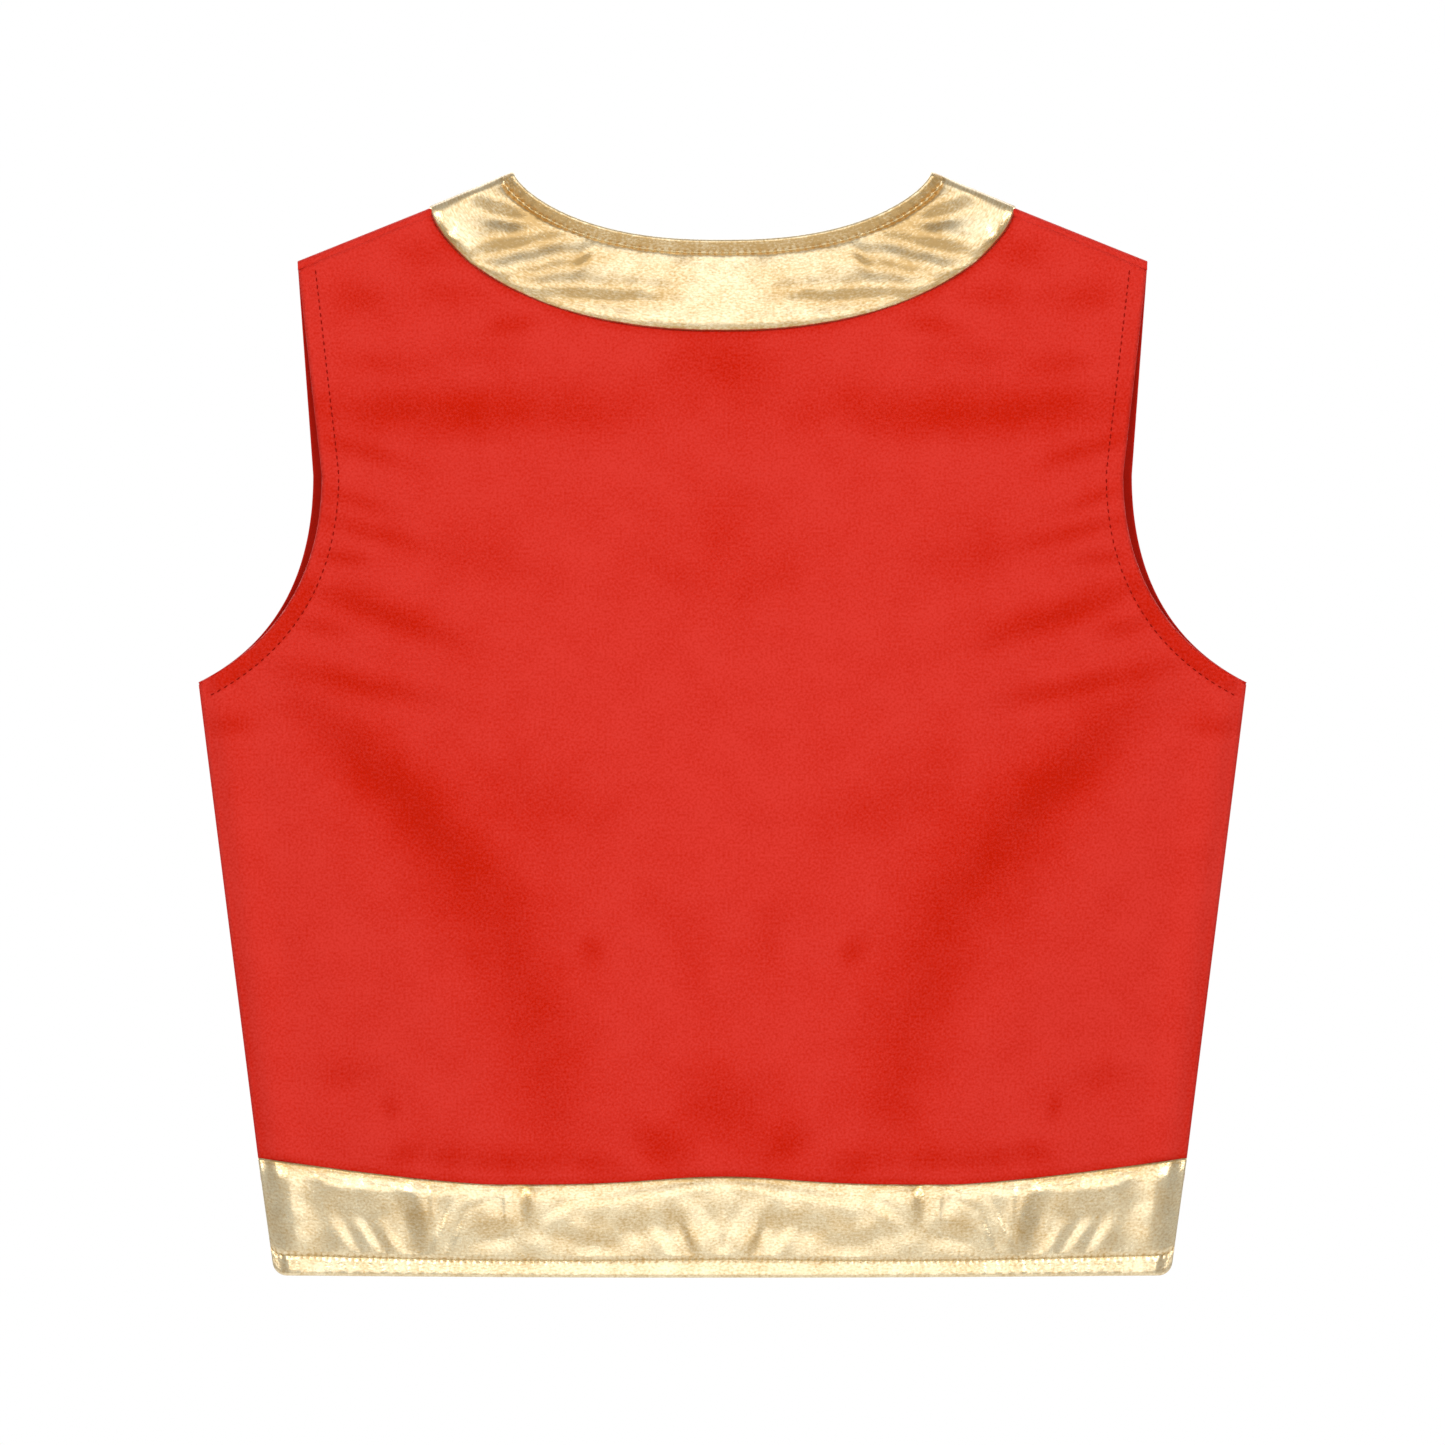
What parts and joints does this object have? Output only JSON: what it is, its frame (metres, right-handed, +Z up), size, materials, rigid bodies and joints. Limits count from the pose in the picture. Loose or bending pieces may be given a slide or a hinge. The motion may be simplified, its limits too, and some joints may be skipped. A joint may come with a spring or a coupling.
{
  "type": "costume vest",
  "caption": "Cropped sleeveless costume waistcoat in satin, open at the front, with folded metallic bands round the neck, down the front edges and along the hem.",
  "frame": {"origin": "midway between the two points where the shoulder seams meet the neck, in the plane of the side seams", "axes": "+Z up as worn; the wearer faces -Y, so the back is at +Y; the wearer's left is +X"},
  "size_m": [0.38, 0.036, 0.4],
  "materials": {
    "red_satin": "satin weave, soft sheen",
    "gold_foil_cloth": "metallic foil on knit",
    "red_thread": "matt polyester thread",
    "gold_thread": "matt polyester thread"
  },
  "bodies": {
    "back_and_sides": {"back_panel": "red_satin", "back_neck_band": "gold_foil_cloth", "back_hem_band": "gold_foil_cloth", "back_neck_topstitch": "gold_thread", "back_hem_topstitch": "gold_thread", "left_front_side_panel": "red_satin", "left_front_band_top": "gold_foil_cloth", "left_front_hem_band_side": "gold_foil_cloth", "left_front_hem_topstitch_side": "gold_thread", "left_front_edge_topstitch_top": "gold_thread", "left_back_armhole_facing": "red_satin", "left_front_armhole_facing": "red_satin", "left_back_armhole_topstitch": "red_thread", "left_front_armhole_topstitch": "red_thread", "left_side_seam": "red_satin", "left_shoulder_seam": "red_satin", "right_front_side_panel": "red_satin", "right_front_band_top": "gold_foil_cloth", "right_front_hem_band_side": "gold_foil_cloth", "right_front_hem_topstitch_side": "gold_thread", "right_front_edge_topstitch_top": "gold_thread", "right_back_armhole_facing": "red_satin", "right_front_armhole_facing": "red_satin", "right_back_armhole_topstitch": "red_thread", "right_front_armhole_topstitch": "red_thread", "right_side_seam": "red_satin", "right_shoulder_seam": "red_satin"},
    "left_front": {"left_front_panel": "red_satin", "left_front_band": "gold_foil_cloth", "left_front_hem_band": "gold_foil_cloth", "left_front_edge_topstitch": "gold_thread", "left_front_hem_topstitch": "gold_thread"},
    "right_front": {"right_front_panel": "red_satin", "right_front_band": "gold_foil_cloth", "right_front_hem_band": "gold_foil_cloth", "right_front_edge_topstitch": "gold_thread", "right_front_hem_topstitch": "gold_thread"}
  },
  "joints": [
    {"name": "left_front_opens", "type": "hinge", "parent": "back_and_sides", "child": "left_front", "pos_m": [0.073, -0.00421, 0], "axis": [-0.124, 0, 0.9923], "range_deg": [-12, 150]},
    {"name": "right_front_opens", "type": "hinge", "parent": "back_and_sides", "child": "right_front", "pos_m": [-0.073, -0.00421, 0], "axis": [-0.124, 0, -0.9923], "range_deg": [-12, 150]}
  ]
}
